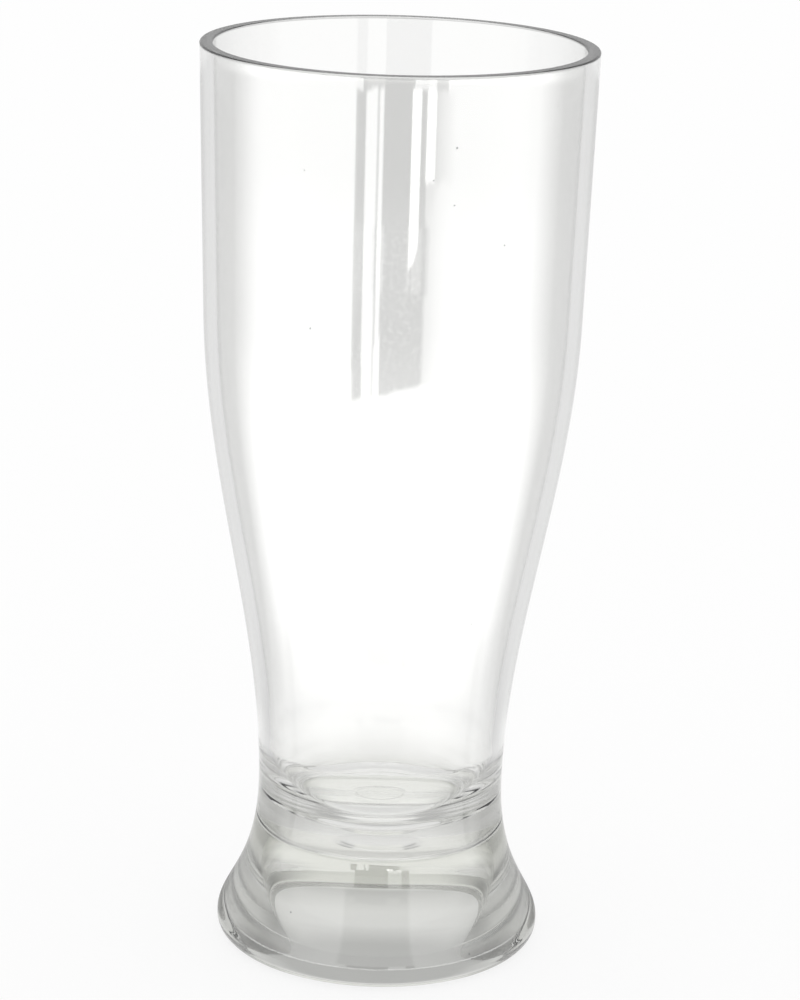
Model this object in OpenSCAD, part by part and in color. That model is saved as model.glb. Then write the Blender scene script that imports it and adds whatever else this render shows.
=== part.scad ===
// Clear moulded pilsner glass: a tall bowl welded onto a hollow flared foot.
// Millimetres, +Z up, origin at the centre of the ring that it stands on.

/* [Bowl] */
// Overall height, from the standing ring to the top of the lip
height = 200; // [175:1:240]
// Outside diameter at the lip
lip_d = 84.2; // [76:0.2:96]
// Wall thickness at the lip, which has a flat top
lip_t = 2.8; // [1.6:0.1:4]
// Radius of the lip's two edges
lip_edge_r = 0.4; // [0.2:0.05:0.7]
// Height at which the belly runs into the straight upper wall
shoulder_z = 141; // [115:1:160]
// Outside diameter at the shoulder
shoulder_d = 81.2; // [70:0.2:92]
// Wall thickness just above the floor
wall_t = 2.8; // [1.8:0.1:4]
// Thickness of the bowl's floor
floor_t = 2.7; // [2:0.1:6]
// Height of the rounded corner between floor and wall
floor_rise = 16; // [8:0.5:22]
// How far that corner reaches in from the wall
floor_reach = 8; // [4:0.5:14]

/* [Foot] */
// Height of the waist, the narrowest point
waist_z = 36; // [34:0.5:48]
// Outside diameter at the waist
waist_d = 54.2; // [48:0.2:62]
// Outside diameter of the foot
foot_d = 71.8; // [64:0.2:84]
// Radius of the foot's lower outside edge
edge_r = 3.5; // [1:0.25:5]
// Height of the upright band above that edge
edge_band = 0.5; // [0:0.25:3]
// Height of the foot's top face, where the bowl is welded on
joint_z = 28.2; // [22:0.1:31]
// Thickness of the foot's top web
web_t = 2.4; // [2:0.1:6]
// Diameter of the hollow at the underside of the web
hollow_top_d = 44; // [32:0.5:48]
// Diameter of the hollow at its mouth
hollow_mouth_d = 53; // [44:0.5:60]
// How far the hollow's wall bellies out between those two
hollow_belly = 2.2; // [0:0.1:3]
// Radius of the hollow's corner under the web
hollow_top_r = 2; // [0.5:0.25:4]
// Radius of the hollow's edge at the mouth
hollow_mouth_r = 1; // [0.25:0.25:2]

/* [Joint] */
// Thickness of the weld between bowl and foot
weld_t = 0.3; // [0.1:0.05:0.8]
// Diameter of the spigot under the bowl that centres it on the foot
spigot_d = 11; // [6:0.5:18]
// Radial and end clearance of the spigot in its socket
spigot_gap = 0.1; // [0.05:0.05:0.3]
// Width left open round the spigot by the weld, which runs out to the waist's surface
weld_relief = 0.7; // [0.4:0.1:8]

/* [Hidden] */
$fn = 128;

// Straight steps that stand for each long curve and each corner
curve_steps = 28;
corner_steps = 10;

// Pull of each curve's end tangents, as shares of the curve's height
belly_low_share = 0.345;
belly_high_share = 0.36;
flare_low_share = 0.18;
flare_high_share = 0.655;

// Depth of the spigot as a share of the web that it enters
spigot_share = 0.5;

lip_r = lip_d / 2;
lip_z = height - lip_edge_r;
waist_r = waist_d / 2;
foot_r = foot_d / 2;
edge_z = edge_r + edge_band;
bowl_base_z = joint_z + weld_t;
floor_z = bowl_base_z + floor_t;
web_z = joint_z - web_t;
spigot_r = spigot_d / 2;
spigot_h = web_t * spigot_share;
weld_in_r = spigot_r + weld_relief;

// Cubic curve between p and q whose tangents at both ends pass through a and b
function cubic(p, a, b, q) = [
    for (i = [0 : curve_steps])
        let (t = i / curve_steps, s = 1 - t)
            s * s * s * p + 3 * s * s * t * a + 3 * s * t * t * b + t * t * t * q
];

function along(v) = v / norm(v);

// Angle turned the short way round
function turn(angle) = angle > 180 ? angle - 360 : angle < -180 ? angle + 360 : angle;

// Arc of radius rad that rounds the corner at p between its neighbours a and b
function corner(a, p, b, rad) =
    let (
        u = along(a - p),
        v = along(b - p),
        half = acos(u * v) / 2,
        centre = p + along(u + v) * rad / sin(half),
        from = p + u * rad / tan(half) - centre,
        to = p + v * rad / tan(half) - centre,
        start = atan2(from[1], from[0]),
        sweep = turn(atan2(to[1], to[0]) - start)
    )
    [
        for (i = [0 : corner_steps])
            let (angle = start + sweep * i / corner_steps)
                centre + rad * [cos(angle), sin(angle)]
    ];

// Outside surface as [radius, height] points, from the standing ring up to the lip
edge = corner([0, 0], [foot_r, 0], [foot_r, edge_z], edge_r);
flare_h = waist_z - edge_z;
flare = cubic(
    [foot_r, edge_z],
    [foot_r, edge_z + flare_h * flare_low_share],
    [waist_r, waist_z - flare_h * flare_high_share],
    [waist_r, waist_z]
);
shoulder = [shoulder_d / 2, shoulder_z];
belly_h = shoulder_z - waist_z;
taper = (lip_r - shoulder[0]) / (lip_z - shoulder_z);
belly_high = belly_h * belly_high_share;
belly = cubic(
    [waist_r, waist_z],
    [waist_r, waist_z + belly_h * belly_low_share],
    shoulder - [belly_high * taper, belly_high],
    shoulder
);
outside = concat(edge, flare, belly, [[lip_r, lip_z]]);
radius_at_height = [for (p = outside) [p[1], p[0]]];

// Outside radius at height z, and the wall there, which tapers from the floor to the lip
function outer_r(z) = lookup(z, radius_at_height);
function wall(z) = wall_t + (lip_t - wall_t) * (z - floor_z) / (lip_z - floor_z);
function inner_r(z) = outer_r(z) - wall(z);

// Points of the outside surface between two heights, with both ends cut exactly
function outside_between(low, high) = concat(
    [[outer_r(low), low]],
    [for (p = outside) if (p[1] > low && p[1] < high) p],
    [[outer_r(high), high]]
);

// Flat top of the wall with its two rounded edges, from the outside to the inside
function lip() =
    let (out = [lip_r, height], in = [lip_r - lip_t, height], down = [0, -height])
    concat(
        corner(out + down, out, in, lip_edge_r),
        corner(out, in, in + down, lip_edge_r)
    );

// Inside of the bowl from the lip down the wall, round the corner and in to the axis
function bowl_inside() =
    let (corner_z = floor_z + floor_rise, side = inner_r(corner_z))
    concat(
        [
            for (i = [len(outside) - 2 : -1 : 0])
                let (z = outside[i][1])
                    if (z > corner_z) [inner_r(z), z]
        ],
        [
            for (i = [0 : curve_steps])
                let (angle = 90 * i / curve_steps)
                    [
                        side - floor_reach * (1 - cos(angle)),
                        corner_z - floor_rise * sin(angle)
                    ]
        ],
        [[0, floor_z]]
    );

// Underside of the bowl from the axis outwards, with the spigot that centres it
function bowl_underside() = [
    [0, bowl_base_z - spigot_h],
    [spigot_r, bowl_base_z - spigot_h],
    [spigot_r, bowl_base_z]
];

// Top of the foot from the outside inwards, with the socket for the spigot
function foot_top() =
    let (socket_r = spigot_r + spigot_gap, socket_z = bowl_base_z - spigot_h - spigot_gap)
    [[socket_r, joint_z], [socket_r, socket_z], [0, socket_z]];

// Hollow under the web from the axis outwards and down to the standing ring
function foot_hollow() =
    let (
        top = [hollow_top_d / 2, web_z],
        mouth = [hollow_mouth_d / 2, 0],
        pull = (top + mouth) / 2 + [2 * hollow_belly, 0],
        from = corner([0, web_z], top, pull, hollow_top_r),
        to = corner(pull, mouth, [foot_r, 0], hollow_mouth_r),
        bore = cubic(top, (top + 2 * pull) / 3, (mouth + 2 * pull) / 3, mouth)
    )
    concat(
        [[0, web_z]],
        from,
        [for (p = bore) if (p[1] < from[corner_steps][1] - 0.1 && p[1] > to[0][1] + 0.1) p],
        to
    );

// Moulded bowl: flat lip, even wall, deeply rounded floor and centring spigot
module bowl() {
    color([0.93, 0.95, 0.95, 0.4])
        rotate_extrude()
            polygon(concat(
                bowl_underside(),
                outside_between(bowl_base_z, shoulder_z),
                lip(),
                bowl_inside()
            ));
}

// Moulded foot: flared bell with a web across its top and an open hollow below
module foot() {
    color([0.88, 0.91, 0.91, 0.4])
        rotate_extrude()
            polygon(concat(
                outside_between(0, joint_z),
                foot_top(),
                foot_hollow()
            ));
}

// Ring of fused material between the two mouldings, flush with the waist's surface
module weld_ring() {
    color([0.9, 0.93, 0.93, 0.4])
        rotate_extrude()
            polygon(concat(
                [[weld_in_r, joint_z]],
                outside_between(joint_z, bowl_base_z),
                [[weld_in_r, bowl_base_z]]
            ));
}

bowl();
foot();
weld_ring();
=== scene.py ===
"""Clear moulded pilsner glass: a tall bowl fused onto a hollow flared foot.

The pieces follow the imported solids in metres, with +Z up and the origin at the
centre of the ring that the glass stands on.
"""

import logging
import math
from dataclasses import dataclass, field
from enum import Enum
from typing import Any, ClassVar, Sequence

import bmesh
import bpy
from mathutils import Matrix, Vector


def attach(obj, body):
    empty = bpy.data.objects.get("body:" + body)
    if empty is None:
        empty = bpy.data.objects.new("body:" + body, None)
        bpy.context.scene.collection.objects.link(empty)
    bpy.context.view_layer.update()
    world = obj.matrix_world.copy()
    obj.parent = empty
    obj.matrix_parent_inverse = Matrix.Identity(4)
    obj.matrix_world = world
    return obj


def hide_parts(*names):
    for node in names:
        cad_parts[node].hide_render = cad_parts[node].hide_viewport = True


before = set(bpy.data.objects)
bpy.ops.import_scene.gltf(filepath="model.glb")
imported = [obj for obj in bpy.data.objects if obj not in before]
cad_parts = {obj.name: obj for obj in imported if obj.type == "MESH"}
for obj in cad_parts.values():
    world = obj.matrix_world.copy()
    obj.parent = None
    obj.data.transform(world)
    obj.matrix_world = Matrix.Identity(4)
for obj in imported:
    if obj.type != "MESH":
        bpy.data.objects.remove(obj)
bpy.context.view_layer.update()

LOG = logging.getLogger("pilsner_glass")
MM = 0.001

# Steps of each piece round the axis, and how near two points count as one
SPIN_STEPS = 360
MERGE_WITHIN = 0.0005 * MM

# Angle between two faces from which their edge stays sharp
SHARP_FROM = math.radians(35)

# Least upright share of a level face's normal, and how near its height has to be
LEVEL_NORMAL = 0.99
LEVEL_WITHIN = 0.001 * MM

# Bearing to either side of the front within which the painted strips lie, in degrees
STRIP_SPREAD = 40.0

Point = tuple[float, float]
Stop = tuple[float, float]
Span = tuple[float, float]
Colour = tuple[float, float, float]
Opaque = tuple[float, float, float, float]
Socket = bpy.types.NodeSocket

WHITE: Opaque = (1.0, 1.0, 1.0, 1.0)
BLACK: Opaque = (0.0, 0.0, 0.0, 1.0)


class Node(str, Enum):
    """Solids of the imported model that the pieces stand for."""

    BOWL = "bowl"
    FOOT = "foot"
    WELD_RING = "weld_ring"


class Skin(int, Enum):
    """Material index of a face: open to the air, or fused to a neighbour."""

    OPEN = 0
    FUSED = 1


class Blend(str, Enum):
    """Ways in which two colours are blended."""

    MIX = "MIX"
    MULTIPLY = "MULTIPLY"
    LIGHTEN = "LIGHTEN"


def grey(tone: float) -> Opaque:
    """Makes an opaque grey.

    Args:
        tone: Value of its three channels.

    Returns:
        The colour with its alpha.
    """
    return (tone, tone, tone, 1.0)


class Graph:
    """Adds and links the nodes of one shader tree."""

    def __init__(self, tree: bpy.types.NodeTree) -> None:
        """Empties the tree and keeps it.

        Args:
            tree: Node tree of a material or a world.
        """
        tree.nodes.clear()
        self.tree = tree

    def add(
        self, kind: str, sockets: dict[Any, Any] | None = None, **settings: Any
    ) -> bpy.types.Node:
        """Adds a node.

        Args:
            kind: Blender's type name of the node, without its ShaderNode prefix.
            sockets: Input name or index to a value, or to the output that feeds it.
            settings: Properties of the node itself.

        Returns:
            The new node.
        """
        node = self.tree.nodes.new("ShaderNode" + kind)
        for name, value in settings.items():
            setattr(node, name, value)
        for key, value in (sockets or {}).items():
            if isinstance(value, bpy.types.NodeSocket):
                self.tree.links.new(value, node.inputs[key])
            else:
                node.inputs[key].default_value = value
        return node

    def ramp(self, factor: Socket, stops: Sequence[Stop]) -> Socket:
        """Adds a grey ramp.

        Args:
            factor: Output that drives the ramp.
            stops: Place between 0 and 1, and grey value, of each stop.

        Returns:
            The ramp's colour output.
        """
        node = self.add("ValToRGB", {0: factor})
        elements = node.color_ramp.elements
        while len(elements) < len(stops):
            elements.new(0.5)
        for element, (place, _) in zip(elements, stops):
            element.position = place
        for element, (_, tone) in zip(elements, stops):
            element.color = grey(tone)
        return node.outputs["Color"]

    def mixed(self, share: Any, first: Any, second: Any, blend: Blend = Blend.MIX) -> Socket:
        """Adds a colour mix.

        Args:
            share: Share of the second colour.
            first: Colour or output at share 0.
            second: Colour or output that is blended in.
            blend: Way to blend.

        Returns:
            The mixed colour.
        """
        sockets = {0: share, 1: first, 2: second}
        return self.add("MixRGB", sockets, blend_type=blend.value).outputs[0]

    def between(self, value: Socket, span: Span) -> Socket:
        """Adds a smooth step.

        Args:
            value: Output that drives the step.
            span: Values at which it's 0 and 1.

        Returns:
            The step's output.
        """
        sockets = {"Value": value, "From Min": span[0], "From Max": span[1]}
        return self.add("MapRange", sockets, interpolation_type="SMOOTHSTEP").outputs[0]

    def along(self, value: Socket, low: float, high: float) -> Socket:
        """Adds a straight rise.

        Args:
            value: Output that drives the rise.
            low: Value at which it's 0.
            high: Value at which it's 1.

        Returns:
            The rise's output.
        """
        sockets = {"Value": value, "From Min": low, "From Max": high}
        return self.add("MapRange", sockets).outputs[0]

    def maths(self, operation: str, *values: Any) -> Socket:
        """Adds a sum over numbers and outputs.

        Args:
            operation: Blender's name of the sum.
            values: Its numbers or outputs.

        Returns:
            The sum's output.
        """
        return self.add("Math", dict(enumerate(values)), operation=operation).outputs[0]

    def parts(self, vector: Socket) -> Any:
        """Splits a vector.

        Args:
            vector: Output to split.

        Returns:
            The outputs X, Y and Z.
        """
        return self.add("SeparateXYZ", {0: vector}).outputs

    def length(self, vector: Socket) -> Socket:
        """Measures a vector.

        Args:
            vector: Output to measure.

        Returns:
            Its length.
        """
        return self.add("VectorMath", {0: vector}, operation="LENGTH").outputs["Value"]

    def scaled(self, vector: Socket, scale: Colour) -> Socket:
        """Scales a vector along each axis.

        Args:
            vector: Output to scale.
            scale: Factor along X, Y and Z.

        Returns:
            The scaled vector.
        """
        return self.add("Mapping", {"Vector": vector, "Scale": scale}).outputs[0]

    def noise(self, vector: Socket, scale: float, detail: float, **more: float) -> Socket:
        """Adds a noise texture.

        Args:
            vector: Place at which it's read.
            scale: Waves in a metre.
            detail: Number of finer layers.
            more: Other inputs by name.

        Returns:
            The noise's value.
        """
        sockets = {"Vector": vector, "Scale": scale, "Detail": detail, **more}
        return self.add("TexNoise", sockets).outputs["Fac"]

    def half_turns(self, way: Any) -> Socket:
        """Measures the bearing from the back, either way round.

        Args:
            way: Outputs X, Y and Z of a place or a direction.

        Returns:
            The bearing: 0 at the back, 0.5 at the sides and 1 at the front.
        """
        bearing = self.maths("ABSOLUTE", self.maths("ARCTAN2", way["X"], way["Y"]))
        return self.maths("DIVIDE", bearing, math.pi)

    def across(self, way: Any) -> Socket:
        """Measures the bearing from the front within the strips' spread.

        Args:
            way: Outputs X, Y and Z of a place or a direction.

        Returns:
            The bearing: 0 and 1 at the ends of the spread.
        """
        aside = self.maths("ARCTAN2", way["X"], self.maths("MULTIPLY", way["Y"], -1.0))
        wide = math.radians(STRIP_SPREAD)
        return self.along(aside, -wide, wide)

    def strips(self, across: Socket, gap: Sequence[Stop]) -> Socket:
        """Adds upright strips of tone.

        Args:
            across: Bearing within the strips' spread.
            gap: Bearing from the front in degrees, and tone, of each stop.

        Returns:
            The strips' tone.
        """
        return self.ramp(across, [((angle / STRIP_SPREAD + 1) / 2, tone) for angle, tone in gap])

    def mirrored(self, path: Any) -> Socket:
        """Tells whether the glass has mirrored a ray at least once.

        Args:
            path: Outputs of a light path node.

        Returns:
            An output that is 1 for such a ray and 0 for others.
        """
        return self.maths("MINIMUM", path["Glossy Depth"], 1.0)

    def shown(self, path: Any) -> Socket:
        """Tells whether a ray comes from the glass.

        Args:
            path: Outputs of a light path node.

        Returns:
            An output that is 1 for a mirrored or refracted ray and 0 for others.
        """
        return self.maths("MAXIMUM", path["Is Glossy Ray"], path["Is Transmission Ray"])


@dataclass(frozen=True)
class ClearPlastic:
    """Clear moulded plastic with faint waves, scuffs, haze and specks of dust, and painted shade
    on its edges, lip and foot.
    """

    name: str
    tint: Colour
    haze_tint: Colour
    ior: float = 1.57
    haze_scale: float = 28.0
    haze_detail: float = 3.0
    haze_roughness: float = 0.6
    haze_shares: tuple[Stop, ...] = ((0.5, 0.0), (0.75, 1.0))
    wave_height: float = 0.018 * MM
    wave_scale: float = 30.0
    wave_stretch: Colour = (1.0, 1.0, 0.4)
    ripple_height: float = 0.002 * MM
    ripple_scale: float = 160.0
    relief_detail: float = 1.0
    speck_scale: float = 80.0
    speck_radius: float = 0.24 * MM
    speck_core_share: float = 0.8
    speck_tone: float = 0.1
    scuff_scale: float = 900.0
    scuff_detail: float = 2.0
    scuff_stretch: Colour = (1.0, 1.0, 0.25)
    scuff_roughness: tuple[Stop, ...] = ((0.7, 0.0), (0.85, 0.06))
    scuffed_below: float = -1.0
    scuffed_roughness: float = 0.35
    lip_from: float = 199.55 * MM
    lip_roughness: float = 0.25
    # Painted shade: the top 0.45 mm of the lip is darkened to this share, as a dark ring
    lip_shade_tone: float = 0.65
    # Painted shade: a grey-green tint over the outside of the foot and waist, by height, most at
    # the joint
    shade_tint: Colour = (0.495, 0.5, 0.465)
    shade_height: float = 60.0 * MM
    shade_shares: tuple[Stop, ...] = (
        (0.0, 0.46),
        (0.13, 0.52),
        (0.25, 0.63),
        (0.34, 0.8),
        (0.4, 1.0),
        (0.475, 1.0),
        (0.515, 0.7),
        (0.57, 0.5),
        (0.63, 0.3),
        (0.73, 0.1),
        (0.8, 0.0),
    )
    shell_r: float = 29.0 * MM
    shell_lean: float = -0.12
    shell_least_r: float = 26.0 * MM
    # Painted shade on the bowl above 46-58 mm: its colour greys where the wall is seen side-on,
    # down to half at the silhouette
    edge_shade_from: Span = (46.0 * MM, 58.0 * MM)
    edge_shade_blend: float = 0.5
    edge_shade_tones: tuple[Stop, ...] = (
        (0.25, 1.0),
        (0.34, 0.97),
        (0.4, 0.94),
        (0.55, 0.87),
        (0.63, 0.84),
        (0.72, 0.8),
        (0.78, 0.78),
        (0.86, 0.5),
    )

    def material(self) -> bpy.types.Material:
        """Builds the material.

        Returns:
            The new material.
        """
        material = bpy.data.materials.new(self.name)
        material.use_nodes = True
        graph = Graph(material.node_tree)
        place = graph.add("TexCoord").outputs["Object"]
        height = graph.parts(place)["Z"]
        plastic = graph.add(
            "BsdfPrincipled",
            {
                "Base Color": self._colour(graph, place, height),
                "Roughness": self._roughness(graph, place, height),
                "IOR": self.ior,
                "Transmission Weight": 1.0,
                "Normal": self._relief(graph, place),
            },
        )
        graph.add("OutputMaterial", {"Surface": plastic.outputs[0]})
        return material

    def _colour(self, graph: Graph, place: Socket, height: Socket) -> Socket:
        """Tints the plastic, with patches of haze and specks of dust, and paints shade: grey edges
        where the wall is seen side-on, a dark lip and a grey-green band on the foot.

        Args:
            graph: Tree of the material.
            place: Place on the piece.
            height: Its height.

        Returns:
            The colour.
        """
        patches = graph.noise(
            place, self.haze_scale, self.haze_detail, Roughness=self.haze_roughness
        )
        haze = graph.ramp(patches, self.haze_shares)
        body = graph.mixed(haze, (*self.tint, 1.0), (*self.haze_tint, 1.0))
        # Painted shade: the outside is tinted grey-green by height
        shade = self._shade_share(graph, place, height)
        body = graph.mixed(shade, body, (*self.shade_tint, 1.0), Blend.MULTIPLY)
        # Painted shade: greyer where the wall is seen side-on, above 46-58 mm
        facing = graph.add("LayerWeight", {"Blend": self.edge_shade_blend}).outputs["Facing"]
        edge_shade = graph.ramp(facing, self.edge_shade_tones)
        body = graph.mixed(graph.between(height, self.edge_shade_from), body, edge_shade, Blend.MULTIPLY)
        # Painted shade: the lip is darkened into a dark ring
        lip = graph.maths("GREATER_THAN", height, self.lip_from)
        body = graph.mixed(lip, body, grey(self.lip_shade_tone), Blend.MULTIPLY)
        cells = graph.add("TexVoronoi", {"Vector": place, "Scale": self.speck_scale})
        radius = self.speck_radius * self.speck_scale
        stops = ((self.speck_core_share * radius, 1.0), (radius, 0.0))
        speck = graph.ramp(cells.outputs["Distance"], stops)
        return graph.mixed(speck, body, grey(self.speck_tone))

    def _shade_share(self, graph: Graph, place: Socket, height: Socket) -> Socket:
        """Shares out the painted shade over the outside surface by height: most at 24-28.5 mm, by
        the joint, and none above 48 mm.

        Args:
            graph: Tree of the material.
            place: Place on the piece.
            height: Its height.

        Returns:
            The share of the deep tint.
        """
        radius = graph.length(graph.scaled(place, (1.0, 1.0, 0.0)))
        lean = graph.maths("MULTIPLY_ADD", height, self.shell_lean, self.shell_r)
        least = graph.maths("MAXIMUM", lean, self.shell_least_r)
        shell = graph.maths("GREATER_THAN", radius, least)
        share = graph.ramp(graph.maths("DIVIDE", height, self.shade_height), self.shade_shares)
        return graph.maths("MULTIPLY", share, shell)

    def _roughness(self, graph: Graph, place: Socket, height: Socket) -> Socket:
        """Breaks the polish with fine scuffs, a worn standing ring and a satin lip.

        Args:
            graph: Tree of the material.
            place: Place on the piece.
            height: Its height.

        Returns:
            The roughness.
        """
        drawn = graph.scaled(place, self.scuff_stretch)
        fine = graph.noise(drawn, self.scuff_scale, self.scuff_detail)
        scuff = graph.ramp(fine, self.scuff_roughness)
        worn = graph.maths("LESS_THAN", height, self.scuffed_below)
        rough = graph.maths("MULTIPLY", worn, self.scuffed_roughness)
        lip = graph.maths("GREATER_THAN", height, self.lip_from)
        satin = graph.maths("MULTIPLY", lip, self.lip_roughness)
        return graph.maths("MAXIMUM", graph.maths("MAXIMUM", scuff, rough), satin)

    def _relief(self, graph: Graph, place: Socket) -> Socket:
        """Bends the surface in long waves and fine ripples.

        Args:
            graph: Tree of the material.
            place: Place on the piece.

        Returns:
            The normal.
        """
        drawn = graph.scaled(place, self.wave_stretch)
        waves = graph.noise(drawn, self.wave_scale, self.relief_detail)
        sockets = {"Strength": 1.0, "Distance": self.wave_height, "Height": waves}
        waved = graph.add("Bump", sockets).outputs[0]
        ripples = graph.noise(place, self.ripple_scale, self.relief_detail)
        sockets = {"Strength": 1.0, "Distance": self.ripple_height, "Height": ripples}
        return graph.add("Bump", {**sockets, "Normal": waved}).outputs[0]


@dataclass(frozen=True)
class FusedFace:
    """Face where two mouldings are fused: light passes as if it weren't there."""

    name: str = "fused_face"

    def material(self) -> bpy.types.Material:
        """Builds the material.

        Returns:
            The new material.
        """
        material = bpy.data.materials.new(self.name)
        material.use_nodes = True
        graph = Graph(material.node_tree)
        clear = graph.add("BsdfTransparent")
        graph.add("OutputMaterial", {"Surface": clear.outputs[0]})
        return material


BOWL_PLASTIC = ClearPlastic(
    "bowl_plastic_clear", tint=(0.988, 0.989, 0.982), haze_tint=(0.974, 0.975, 0.966)
)
FOOT_PLASTIC = ClearPlastic(
    "foot_plastic_clear",
    tint=(0.972, 0.976, 0.955),
    haze_tint=(0.95, 0.954, 0.935),
    scuffed_below=0.3 * MM,
)
WELD_PLASTIC = ClearPlastic(
    "weld_plastic_clear", tint=(0.985, 0.988, 0.986), haze_tint=(0.97, 0.975, 0.972)
)

# Painted strips that the middle of the floor shows to mirrored rays, as bearing and tone
MIDDLE_STRIPS: tuple[Stop, ...] = (
    (-23.8, 1.0),
    (-23.2, 0.05),
    (-18.4, 0.05),
    (-17.6, 1.0),
    (-11.8, 1.0),
    (-11.4, 0.2),
    (-10.4, 0.2),
    (-10.0, 1.0),
    (-8.3, 1.0),
    (-7.7, 0.05),
    (7.4, 0.05),
    (8.1, 1.8),
    (12.4, 1.8),
    (13.2, 0.1),
)


def far_strips(side_tone: float) -> tuple[Stop, ...]:
    """Lists the painted strips that the far floor and the air above it show to mirrored rays.

    Args:
        side_tone: Tone of the narrow strip at the side.

    Returns:
        The bearing and tone of each stop.
    """
    return (
        (-20.0, 1.0),
        (-19.5, 0.05),
        (8.6, 0.05),
        (9.2, 1.0),
        (20.4, 1.0),
        (21.2, side_tone),
        (27.0, side_tone),
        (27.8, 1.0),
    )


@dataclass(frozen=True)
class PaleFloor:
    """Pale paper floor: white to the eye; where the glass shows it, it glows with painted shade at
    the glass, painted strips and a painted reflection in front.
    """

    name: str = "pale_floor"
    albedo: float = 0.9
    shaded_share: float = 0.16
    near: float = -0.15
    far: float = 0.15
    # Painted shade under the glass by Y in metres: grey under the foot, and a painted shadow of
    # the front standing ring 19-26.5 mm in front
    tones: tuple[Stop, ...] = (
        (-0.15, 1.0),
        (-0.06, 1.0),
        (-0.03, 1.0),
        (-0.0265, 0.5),
        (-0.019, 0.5),
        (-0.01, 0.77),
        (0.0, 0.8),
        (0.012, 0.72),
        (0.023, 0.62),
        (0.03, 0.93),
        (0.05, 1.0),
        (0.1, 1.04),
        (0.15, 1.0),
    )
    # Painted shade close beside the glass, greyer towards the sides
    beside: tuple[tuple[Stop, ...], ...] = (
        ((0.0, 1.0), (0.12, 1.0), (0.28, 0.42), (0.6, 0.42), (0.75, 1.0)),
        ((0.0, 1.0), (0.12, 1.0), (0.28, 0.64), (0.6, 0.64), (0.75, 1.0)),
    )
    beside_from: Span = (0.036, 0.045)
    beside_to: Span = (0.07, 0.10)
    reach: Span = (0.08, 0.20)
    # Painted shade of the paper by bearing and distance: a little greyer to the sides and behind
    turns: tuple[tuple[Stop, ...], ...] = (
        ((0.0, 1.0), (0.07, 1.0), (0.11, 0.84), (0.44, 0.82), (0.56, 1.0)),
        ((0.0, 0.82), (0.06, 0.82), (0.2, 0.84), (0.44, 0.78), (0.56, 1.0)),
        ((0.0, 0.77), (0.06, 0.77), (0.2, 0.83), (0.44, 0.78), (0.56, 1.0)),
        ((0.0, 1.0), (0.06, 0.98), (0.2, 0.86), (0.44, 0.8), (0.56, 1.0)),
    )
    turn_reach: tuple[Span, ...] = ((0.36, 0.60), (0.70, 0.92), (1.15, 1.18))
    # Painted reflection: for rays the glass mirrors, the paper glows up to five times white
    # towards the front, from 90-160 mm out
    mirror_glow: tuple[Stop, ...] = ((0.4, 1.0), (0.52, 5.0))
    mirror_glow_from: Span = (0.09, 0.16)
    slants: tuple[float, ...] = (-0.2, -0.6, 0.0, 0.0)
    fray: float = 0.03
    fray_scale: float = 14.0
    fray_detail: float = 2.0
    mottle_scale: float = 160.0
    mottle_detail: float = 2.0
    mottle_stretch: Colour = (0.25, 1.0, 1.0)
    mottle: tuple[Stop, ...] = ((0.45, 0.0), (0.75, 0.38))
    mottle_to: Span = (0.66, 0.76)
    gap_fade: float = 0.02
    gaps: tuple[tuple[float, tuple[Stop, ...]], ...] = (
        (
            0.38,
            (
                (-23.4, 1.0),
                (-22.6, 0.05),
                (-18.0, 0.05),
                (-17.0, 1.0),
                (-12.2, 1.0),
                (-11.7, 0.4),
                (-11.0, 0.4),
                (-10.5, 1.0),
                (-7.6, 1.0),
                (-6.8, 0.05),
                (16.8, 0.05),
                (18.4, 0.5),
                (24.0, 0.8),
                (31.0, 1.0),
            ),
        ),
        (
            0.56,
            (*MIDDLE_STRIPS, (15.8, 0.1), (17.0, 0.4), (24.0, 0.6), (33.0, 1.0)),
        ),
        (
            0.75,
            (
                *MIDDLE_STRIPS,
                (15.6, 0.1),
                (16.4, 1.6),
                (20.6, 1.6),
                (21.6, 0.3),
                (24.0, 0.5),
                (33.0, 1.0),
            ),
        ),
        (0.93, far_strips(0.15)),
    )

    def material(self) -> bpy.types.Material:
        """Builds the material.

        Returns:
            The new material.
        """
        material = bpy.data.materials.new(self.name)
        material.use_nodes = True
        graph = Graph(material.node_tree)
        path = graph.add("LightPath").outputs
        paper = graph.add("BsdfDiffuse", {"Color": grey(self.albedo)}).outputs[0]
        white = graph.add("Emission", {"Color": WHITE}).outputs[0]
        tone = graph.add("Emission", {"Color": self._tone(graph, path)}).outputs[0]
        seen = graph.add("MixShader", {0: self.shaded_share, 1: white, 2: paper}).outputs[0]
        lit = graph.add("MixShader", {0: path["Is Camera Ray"], 1: paper, 2: seen}).outputs[0]
        both = graph.add("MixShader", {0: graph.shown(path), 1: lit, 2: tone}).outputs[0]
        graph.add("OutputMaterial", {"Surface": both})
        return material

    def _tone(self, graph: Graph, path: Any) -> Socket:
        """Paints the paper's tone as the glass shows it: painted shade greyer at the glass,
        painted strips and a painted reflection in front.

        Args:
            graph: Tree of the material.
            path: Outputs of a light path node.

        Returns:
            The paper's tone.
        """
        place = graph.add("TexCoord").outputs["Object"]
        way = graph.parts(place)
        half_turns = graph.half_turns(way)
        distance = graph.length(place)
        near = self._near(graph, way, half_turns, distance)
        ring = graph.ramp(half_turns, self.turns[0])
        for reach, turn in zip(self.turn_reach, self.turns[1:]):
            ring = graph.mixed(graph.between(distance, reach), ring, graph.ramp(half_turns, turn))
        plain = graph.mixed(graph.between(distance, self.reach), near, ring)
        striped = self._striped(graph, place, plain, ring)
        # Painted reflection: only rays that the glass has mirrored see the strips
        sheet = graph.mixed(graph.mirrored(path), plain, striped)
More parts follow.
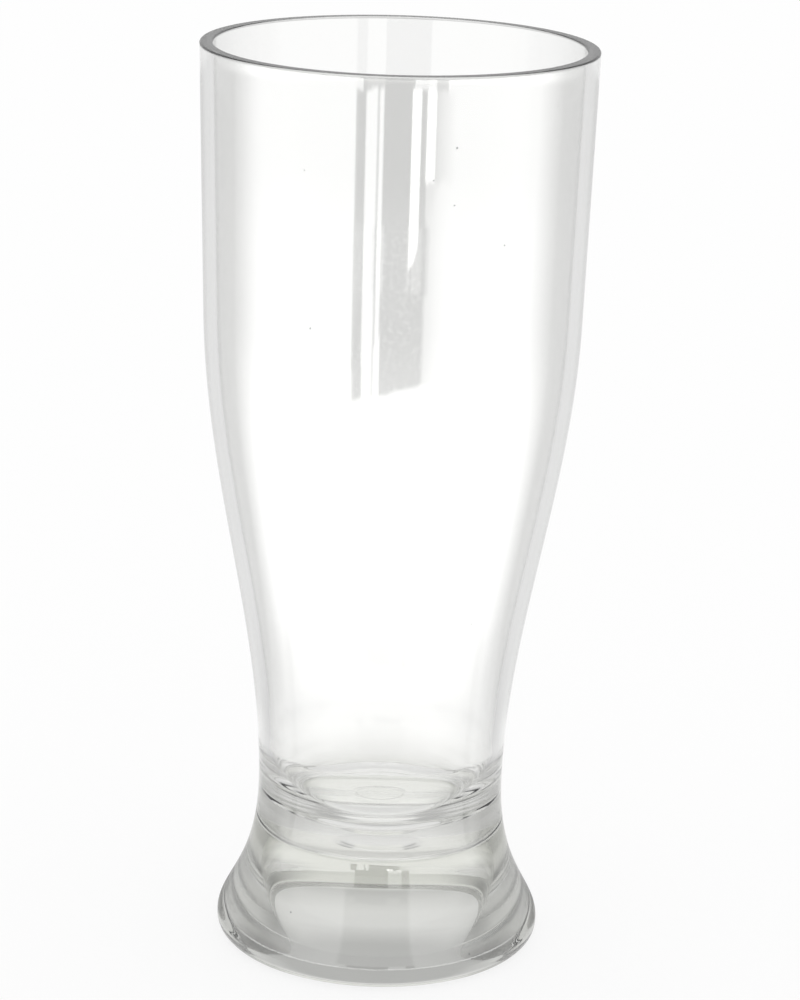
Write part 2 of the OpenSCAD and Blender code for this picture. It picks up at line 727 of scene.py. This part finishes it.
        # Painted reflection: rays that the glass mirrors see the paper glow brighter in front
        away = graph.between(distance, self.mirror_glow_from)
        mirror_glow = graph.ramp(half_turns, self.mirror_glow)
        shining = graph.mixed(away, sheet, mirror_glow, Blend.MULTIPLY)
        return graph.mixed(path["Is Transmission Ray"], shining, sheet)

    def _near(self, graph: Graph, way: Any, half_turns: Socket, distance: Socket) -> Socket:
        """Paints shade on the paper under and close beside the glass.

        Args:
            graph: Tree of the material.
            way: Outputs X, Y and Z of the place.
            half_turns: Its bearing from the back.
            distance: Its distance from the axis.

        Returns:
            The tone there.
        """
        span = self.far - self.near
        along = graph.along(way["Y"], self.near, self.far)
        under = graph.ramp(along, [((y - self.near) / span, tone) for y, tone in self.tones])
        sides = (graph.ramp(half_turns, turn) for turn in self.beside)
        beside = graph.mixed(graph.between(distance, self.beside_to), *sides)
        outside = graph.between(distance, self.beside_from)
        return graph.mixed(outside, under, beside, Blend.MULTIPLY)

    def _striped(self, graph: Graph, place: Socket, sheet: Socket, ring: Socket) -> Socket:
        """Lays upright painted strips, dark gaps and pale bands, over the paper in front.

        Args:
            graph: Tree of the material.
            place: Place on the floor.
            sheet: Tone without strips.
            ring: Tone by bearing that the strips darken.

        Returns:
            The tone with strips.
        """
        way = graph.parts(place)
        distance = graph.length(place)
        across = graph.across(way)
        frayed = graph.noise(place, self.fray_scale, self.fray_detail)
        frayed = graph.maths("SUBTRACT", frayed, 0.5)
        frayed = graph.maths("MULTIPLY_ADD", frayed, self.fray, distance)
        drawn = graph.scaled(place, self.mottle_stretch)
        strokes = graph.noise(drawn, self.mottle_scale, self.mottle_detail)
        strokes = graph.ramp(strokes, self.mottle)
        strokes = graph.mixed(graph.between(distance, self.mottle_to), strokes, BLACK)
        for slant, (start, gap) in zip(self.slants, self.gaps):
            edge = graph.maths("MULTIPLY_ADD", way["X"], slant, frayed)
            strip = graph.mixed(1.0, graph.strips(across, gap), strokes, Blend.LIGHTEN)
            dark = graph.mixed(1.0, ring, strip, Blend.MULTIPLY)
            sheet = graph.mixed(graph.between(edge, (start, start + self.gap_fade)), sheet, dark)
        return sheet


@dataclass(frozen=True)
class Surroundings:
    """Soft studio air: white to the eye, pale and graded where the glass shows it, with painted
    strips and a painted glow in what it mirrors.
    """

    name: str = "studio_air"
    level: float = 1.05
    rings: tuple[tuple[Stop, ...], ...] = (
        ((0.0, 1.0), (0.06, 0.98), (0.305, 0.84), (0.5, 0.88), (0.62, 1.0)),
        ((0.0, 0.8), (0.1, 0.8), (0.25, 0.68), (0.5, 0.75), (0.62, 1.0)),
        ((0.0, 1.0), (0.05, 1.0), (0.12, 0.4), (0.3, 0.2), (0.45, 0.3), (0.62, 1.0)),
        ((0.0, 0.8), (1.0, 0.8)),
    )
    ring_from: tuple[Span, ...] = ((0.08, 0.16), (0.40, 0.50), (0.75, 0.95))
    # Painted reflection: the air that the glass mirrors is up to 2.4 times as bright towards the
    # front
    mirror_glow: tuple[Stop, ...] = ((0.5, 1.0), (0.62, 1.8), (0.85, 2.4))
    low_gap: tuple[Stop, ...] = far_strips(0.1)
    high_gap: tuple[Stop, ...] = ((0.84, 1.0), (0.86, 0.5))
    gap_rise: Span = (0.10, 0.16)

    def apply(self) -> None:
        """Gives the scene a world with this light."""
        world = bpy.data.worlds.new(self.name)
        bpy.context.scene.world = world
        world.use_nodes = True
        graph = Graph(world.node_tree)
        path = graph.add("LightPath").outputs
        lit = graph.mixed(graph.shown(path), grey(self.level), self._tone(graph, path))
        colour = graph.mixed(path["Is Camera Ray"], lit, WHITE)
        light = graph.add("Background", {"Color": colour, "Strength": 1.0})
        graph.add("OutputWorld", {"Surface": light.outputs[0]})

    def _tone(self, graph: Graph, path: Any) -> Socket:
        """Grades the air as the glass shows it, by height and bearing, with painted strips and a
        painted glow for mirrored rays.

        Args:
            graph: Tree of the world.
            path: Outputs of a light path node.

        Returns:
            The air's tone.
        """
        way = graph.parts(graph.add("TexCoord").outputs["Generated"])
        half_turns = graph.half_turns(way)
        around = graph.ramp(half_turns, self.rings[0])
        for start, ring in zip(self.ring_from, self.rings[1:]):
            tone = graph.ramp(half_turns, ring)
            around = graph.mixed(graph.between(way["Z"], start), around, tone)
        low = graph.strips(graph.across(way), self.low_gap)
        high = graph.ramp(half_turns, self.high_gap)
        gap = graph.mixed(graph.between(way["Z"], self.gap_rise), low, high)
        # Painted reflection: only mirrored rays see the gaps and the glow
        graded = graph.mixed(graph.mirrored(path), around, gap, Blend.MULTIPLY)
        mirror_glow = graph.ramp(half_turns, self.mirror_glow)
        shining = graph.mixed(1.0, graded, mirror_glow, Blend.MULTIPLY)
        return graph.mixed(path["Is Transmission Ray"], shining, graded)


def curve(start: Point, pull_a: Point, pull_b: Point, end: Point, steps: int) -> list[Point]:
    """Steps along a cubic curve.

    Args:
        start: First point, as radius and height.
        pull_a: Point that the curve leaves towards.
        pull_b: Point that it arrives from.
        end: Last point.
        steps: Number of straight steps.

    Returns:
        The steps + 1 points from start to end.
    """
    points = []
    for i in range(steps + 1):
        t = i / steps
        s = 1.0 - t
        weights = (s**3, 3 * s * s * t, 3 * s * t * t, t**3)
        ends = (start, pull_a, pull_b, end)
        points.append(tuple(sum(w * p[k] for w, p in zip(weights, ends)) for k in (0, 1)))
    return points


def corner(before: Point, at: Point, after: Point, radius: float, steps: int) -> list[Point]:
    """Rounds the corner at one point between its neighbours.

    Args:
        before: Neighbour that the arc comes from.
        at: The sharp corner.
        after: Neighbour that the arc goes to.
        radius: Radius of the arc.
        steps: Number of straight steps.

    Returns:
        The steps + 1 points of the arc.
    """
    point = Vector(at)
    back = (Vector(before) - point).normalized()
    ahead = (Vector(after) - point).normalized()
    half = back.angle(ahead) / 2
    centre = point + (back + ahead).normalized() * (radius / math.sin(half))
    first = point + back * (radius / math.tan(half)) - centre
    last = point + ahead * (radius / math.tan(half)) - centre
    start = math.atan2(first.y, first.x)
    sweep = (math.atan2(last.y, last.x) - start + math.pi) % math.tau - math.pi
    angles = (start + sweep * i / steps for i in range(steps + 1))
    return [(centre.x + radius * math.cos(a), centre.y + radius * math.sin(a)) for a in angles]


def radius_at(height: float, table: Sequence[Point]) -> float:
    """Reads the radius at a height.

    Args:
        height: Height to read at.
        table: Radius and height of points that rise.

    Returns:
        The radius on the straight line between the two points around it.
    """
    for (r0, z0), (r1, z1) in zip(table, table[1:]):
        if z0 <= height <= z1:
            return r0 + (r1 - r0) * (height - z0) / max(z1 - z0, 1e-9)
    return table[0][0] if height < table[0][1] else table[-1][0]


def turned(name: str, outline: Sequence[Point], closed: bool = False) -> bpy.types.Object:
    """Spins an outline about the glass's axis into a smooth closed piece.

    Args:
        name: Name of the piece.
        outline: Radius and height of each point, from axis to axis or as a loop.
        closed: Whether the last point joins the first.

    Returns:
        The new object, linked to the scene.
    """
    bm = bmesh.new()
    verts = [bm.verts.new((r, 0.0, z)) for r, z in outline]
    pairs = list(zip(verts, verts[1:])) + ([(verts[-1], verts[0])] if closed else [])
    edges = [bm.edges.new(pair) for pair in pairs]
    bmesh.ops.spin(
        bm,
        geom=verts + edges,
        cent=(0.0, 0.0, 0.0),
        axis=(0.0, 0.0, 1.0),
        angle=math.tau,
        steps=SPIN_STEPS,
        use_merge=True,
    )
    bmesh.ops.remove_doubles(bm, verts=bm.verts[:], dist=MERGE_WITHIN)
    bmesh.ops.recalc_face_normals(bm, faces=bm.faces[:])
    for face in bm.faces:
        face.smooth = True
    for edge in bm.edges:
        edge.smooth = len(edge.link_faces) == 2 and edge.calc_face_angle() < SHARP_FROM
    mesh = bpy.data.meshes.new(name)
    bm.to_mesh(mesh)
    bm.free()
    piece = bpy.data.objects.new(name, mesh)
    bpy.context.scene.collection.objects.link(piece)
    return piece


def fuse(piece: bpy.types.Object, height: float, from_r: float) -> None:
    """Marks a piece's level faces at one height as fused.

    Args:
        piece: The piece.
        height: Height of the faces.
        from_r: Radius from which they're fused.
    """
    for face in piece.data.polygons:
        upright = abs(face.normal.z) > LEVEL_NORMAL
        level = upright and abs(face.center.z - height) < LEVEL_WITHIN
        if level and math.hypot(face.center.x, face.center.y) > from_r:
            face.material_index = Skin.FUSED


@dataclass
class Outside:
    """Outside surface that the three mouldings share, from the foot to the lip."""

    height: float = 200.0 * MM
    lip_r: float = 42.1 * MM
    lip_t: float = 2.8 * MM
    lip_edge_r: float = 0.4 * MM
    shoulder_z: float = 141.0 * MM
    shoulder_r: float = 40.6 * MM
    waist_z: float = 36.0 * MM
    waist_r: float = 27.1 * MM
    foot_r: float = 35.9 * MM
    edge_r: float = 3.5 * MM
    edge_band: float = 0.5 * MM
    belly_low_share: float = 0.345
    belly_high_share: float = 0.36
    flare_low_share: float = 0.18
    flare_high_share: float = 0.655
    steps: int = 48
    edge_steps: int = 12
    wall_steps: int = 8
    wall_end_shares: tuple[float, ...] = (0.99, 0.995, 1.0)
    lip_z: float = field(init=False)
    points: list[Point] = field(init=False)

    def __post_init__(self) -> None:
        """Works out the points of the surface, from the standing ring up."""
        self.lip_z = self.height - self.lip_edge_r
        edge_z = self.edge_r + self.edge_band
        foot_edge = (self.foot_r, edge_z)
        waist = (self.waist_r, self.waist_z)
        shoulder = (self.shoulder_r, self.shoulder_z)
        flare_h = self.waist_z - edge_z
        belly_h = self.shoulder_z - self.waist_z
        wall_r, wall_h = self.lip_r - self.shoulder_r, self.lip_z - self.shoulder_z
        high = belly_h * self.belly_high_share
        edge = corner((0.0, 0.0), (self.foot_r, 0.0), foot_edge, self.edge_r, self.edge_steps)
        flare = curve(
            foot_edge,
            (self.foot_r, edge_z + flare_h * self.flare_low_share),
            (self.waist_r, self.waist_z - flare_h * self.flare_high_share),
            waist,
            self.steps,
        )
        belly = curve(
            waist,
            (self.waist_r, self.waist_z + belly_h * self.belly_low_share),
            (self.shoulder_r - high * (wall_r / wall_h), self.shoulder_z - high),
            shoulder,
            self.steps,
        )
        shares = (*(i / self.wall_steps for i in range(1, self.wall_steps)), *self.wall_end_shares)
        wall = [(shoulder[0] + wall_r * s, shoulder[1] + wall_h * s) for s in shares]
        self.points = edge + flare + belly[1:] + wall

    def radius(self, height: float) -> float:
        """Reads the outside radius.

        Args:
            height: Height to read at.

        Returns:
            The radius there.
        """
        return radius_at(height, self.points)

    def part(self, low: float, high: float) -> list[Point]:
        """Cuts out a length of the surface.

        Args:
            low: Height of its lower end.
            high: Height of its upper end.

        Returns:
            The points between, with both ends cut exactly.
        """
        inner = [p for p in self.points if low < p[1] < high]
        return [(self.radius(low), low), *inner, (self.radius(high), high)]


@dataclass
class Joint:
    """Heights and radii at which bowl, weld and foot meet."""

    top_z: float = 28.5 * MM
    low_z: float = 28.2 * MM
    weld_in_r: float = 6.2 * MM
    spigot_r: float = 5.5 * MM
    spigot_h: float = 1.2 * MM
    gap: float = 0.1 * MM
    hair: float = 0.01 * MM
    margin: float = 0.15 * MM


@dataclass
class Moulding:
    """One piece of the glass, turned about its axis."""

    node: ClassVar[Node]
    outside: Outside
    joint: Joint
    plastic: ClearPlastic

    def build(self) -> bpy.types.Object:
        """Builds the piece.

        Returns:
            The piece, without its materials.
        """
        raise NotImplementedError

    def dress(self, piece: bpy.types.Object, fused: bpy.types.Material) -> None:
        """Gives the piece its materials and its place in the frame.

        Args:
            piece: The built piece.
            fused: Material of its fused faces.
        """
        node = self.node
        for material in (self.plastic.material(), fused):
            piece.data.materials.append(material)
        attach(piece, "root")
        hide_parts(node.value)


@dataclass
class Bowl(Moulding):
    """Tall vessel with a flat lip, an even wall, a rounded floor and a spigot below."""

    node: ClassVar[Node] = Node.BOWL
    wall_t: float = 2.8 * MM
    floor_z: float = 31.2 * MM
    floor_rise: float = 16.0 * MM
    floor_reach: float = 8.0 * MM
    lip_steps: int = 8
    turn_steps: int = 24

    def wall(self, height: float) -> float:
        """Works out the wall's thickness.

        Args:
            height: Height to work it out at.

        Returns:
            The thickness there.
        """
        share = (height - self.floor_z) / (self.outside.lip_z - self.floor_z)
        return self.wall_t + (self.outside.lip_t - self.wall_t) * share

    def inner(self, height: float) -> float:
        """Works out the inside radius.

        Args:
            height: Height to work it out at.

        Returns:
            The radius there.
        """
        return self.outside.radius(height) - self.wall(height)

    def lip(self) -> list[Point]:
        """Works out the flat lip with its two rounded edges.

        Returns:
            Its points from the outside to the inside.
        """
        out, margin = self.outside, self.joint.margin
        mouth_r = self.inner(out.lip_z)
        outer, inner = (out.lip_r, out.height), (mouth_r, out.height)
        first = corner((out.lip_r, out.lip_z), outer, inner, out.lip_edge_r, self.lip_steps)
        last = corner(outer, inner, (mouth_r, out.lip_z), out.lip_edge_r, self.lip_steps)
        flat = [
            (first[-1][0] - margin, out.height),
            (mouth_r + out.lip_edge_r + margin, out.height),
        ]
        return first + flat + last

    def outline(self) -> list[Point]:
        """Works out the bowl's outline.

        Returns:
            Its points from the axis below to the axis above.
        """
        out, joint = self.outside, self.joint
        spigot_z = joint.top_z - joint.spigot_h
        below = [
            (0.0, spigot_z),
            (joint.spigot_r, spigot_z),
            (joint.spigot_r, joint.top_z),
            (joint.weld_in_r, joint.top_z),
        ]
        corner_z = self.floor_z + self.floor_rise
        side = self.inner(corner_z)
        inside = [(self.inner(z), z) for _, z in reversed(out.points) if z > corner_z]
        turn = [
            (
                side - self.floor_reach * (1 - math.cos(a)),
                corner_z - self.floor_rise * math.sin(a),
            )
            for a in (math.pi / 2 * i / self.turn_steps for i in range(self.turn_steps + 1))
        ]
        floor = [(turn[-1][0] - joint.margin, self.floor_z), (0.0, self.floor_z)]
        return below + out.part(joint.top_z, out.lip_z) + self.lip() + inside + turn + floor

    def build(self) -> bpy.types.Object:
        """Builds the bowl.

        Returns:
            The piece, without its materials.
        """
        piece = turned("bowl_moulding", self.outline())
        fuse(piece, self.joint.top_z, self.joint.weld_in_r)
        return piece


@dataclass
class Foot(Moulding):
    """Flared bell with a web across its top, an open hollow and a standing ring."""

    node: ClassVar[Node] = Node.FOOT
    web_z: float = 25.8 * MM
    hollow_top_r: float = 22.0 * MM
    hollow_mouth_r: float = 26.5 * MM
    hollow_belly: float = 2.2 * MM
    top_round: float = 2.0 * MM
    mouth_round: float = 1.0 * MM
    bore_margin: float = 0.1 * MM
    top_steps: int = 12
    mouth_steps: int = 10

    def hollow(self) -> list[Point]:
        """Works out the hollow under the web.

        Returns:
            Its points from the axis down to the standing ring.
        """
        top, mouth = (self.hollow_top_r, self.web_z), (self.hollow_mouth_r, 0.0)
        pull = ((top[0] + mouth[0]) / 2 + 2 * self.hollow_belly, self.web_z / 2)
        pulls = [tuple((end[k] + 2 * pull[k]) / 3 for k in (0, 1)) for end in (top, mouth)]
        under = corner((0.0, self.web_z), top, pull, self.top_round, self.top_steps)
        ring = (self.outside.foot_r, 0.0)
        edge = corner(pull, mouth, ring, self.mouth_round, self.mouth_steps)
        low, high = edge[0][1] + self.bore_margin, under[-1][1] - self.bore_margin
        bore = curve(top, pulls[0], pulls[1], mouth, self.outside.steps)
        bore = [p for p in bore if low < p[1] < high]
        web = [(0.0, self.web_z), (under[0][0] - self.joint.margin, self.web_z)]
        return web + under + bore + edge

    def outline(self) -> list[Point]:
        """Works out the foot's outline.

        Returns:
            Its points from the axis below, round the outside, to the axis above.
        """
        joint = self.joint
        socket_r = joint.spigot_r + joint.gap
        socket_z = joint.top_z - joint.spigot_h - joint.gap
        hollow = self.hollow()
        shell = self.outside.part(0.0, joint.low_z)
        ring = [(hollow[-1][0] + joint.margin, 0.0), (shell[0][0] - joint.margin, 0.0)]
        above = [
            (joint.weld_in_r, joint.low_z),
            (socket_r, joint.low_z),
            (socket_r, socket_z),
            (0.0, socket_z),
        ]
        return hollow + ring + shell + above

    def build(self) -> bpy.types.Object:
        """Builds the foot.

        Returns:
            The piece, without its materials.
        """
        piece = turned("foot_moulding", self.outline())
        fuse(piece, self.joint.low_z, self.joint.weld_in_r)
        return piece


@dataclass
class WeldRing(Moulding):
    """Thin ring of fused material between bowl and foot, flush with the waist."""

    node: ClassVar[Node] = Node.WELD_RING

    def build(self) -> bpy.types.Object:
        """Builds the ring.

        Returns:
            The piece, without its materials.
        """
        joint = self.joint
        low, high = joint.low_z + joint.hair, joint.top_z - joint.hair
        loop = [
            (joint.weld_in_r, low),
            *self.outside.part(low, high),
            (joint.weld_in_r, high),
        ]
        piece = turned("weld_band", loop, closed=True)
        for height in (low, high):
            fuse(piece, height, joint.weld_in_r)
        return piece


@dataclass
class Studio:
    """Floor, air and camera around the glass."""

    floor_size: float = 3.0
    floor_cells: int = 8
    floor_drop: float = 0.02 * MM
    bounces: int = 32
    glossy_bounces: int = 24
    camera_place: tuple[float, float, float] = (0.0, -710.1 * MM, 309.8 * MM)
    pitch: float = math.radians(16.427)
    yaw: float = math.radians(0.213)
    roll: float = math.radians(1.647)
    lens: float = 122.32
    sensor: float = 36.0
    clip_start: float = 0.01

    def build(self) -> None:
        """Builds everything around the glass."""
        scene = bpy.context.scene
        scene.view_settings.view_transform = "Standard"
        scene.cycles.max_bounces = self.bounces
        scene.cycles.transmission_bounces = self.bounces
        scene.cycles.glossy_bounces = self.glossy_bounces
        scene.cycles.transparent_max_bounces = self.bounces
        self._floor()
        Surroundings().apply()
        self._camera()

    def _floor(self) -> None:
        """Lays the floor just under the glass."""
        bm = bmesh.new()
        cells = self.floor_cells
        bmesh.ops.create_grid(bm, x_segments=cells, y_segments=cells, size=self.floor_size)
        mesh = bpy.data.meshes.new("floor")
        bm.to_mesh(mesh)
        bm.free()
        mesh.materials.append(PaleFloor().material())
        mesh.transform(Matrix.Translation((0.0, 0.0, -self.floor_drop)))
        floor = bpy.data.objects.new("floor", mesh)
        bpy.context.scene.collection.objects.link(floor)

    def _camera(self) -> None:
        """Sets the camera at the picture's viewing angle."""
        camera = bpy.data.cameras.new("camera")
        camera.sensor_width = self.sensor
        camera.sensor_fit = "AUTO"
        camera.lens = self.lens
        camera.clip_start = self.clip_start
        level = Vector((math.cos(self.yaw), -math.sin(self.yaw), 0.0))
        ahead = Vector((math.sin(self.yaw), math.cos(self.yaw), 0.0))
        up = Vector((0.0, 0.0, 1.0))
        forward = ahead * math.cos(self.pitch) - up * math.sin(self.pitch)
        raised = ahead * math.sin(self.pitch) + up * math.cos(self.pitch)
        right = level * math.cos(self.roll) + raised * math.sin(self.roll)
        top = raised * math.cos(self.roll) - level * math.sin(self.roll)
        turn = Matrix((right, top, -forward)).transposed().to_4x4()
        eye = bpy.data.objects.new("camera", camera)
        eye.matrix_world = Matrix.Translation(self.camera_place) @ turn
        bpy.context.scene.collection.objects.link(eye)
        bpy.context.scene.camera = eye


def main() -> None:
    """Builds the studio and the glass."""
    logging.basicConfig(level=logging.INFO, format="%(name)s %(message)s")
    Studio().build()
    outside, joint = Outside(), Joint()
    fused = FusedFace().material()
    mouldings: tuple[Moulding, ...] = (
        Bowl(outside, joint, BOWL_PLASTIC),
        Foot(outside, joint, FOOT_PLASTIC),
        WeldRing(outside, joint, WELD_PLASTIC),
    )
    for moulding in mouldings:
        piece = moulding.build()
        moulding.dress(piece, fused)
        LOG.info("%s: %d faces", piece.name, len(piece.data.polygons))


if __name__ == "__main__":
    main()
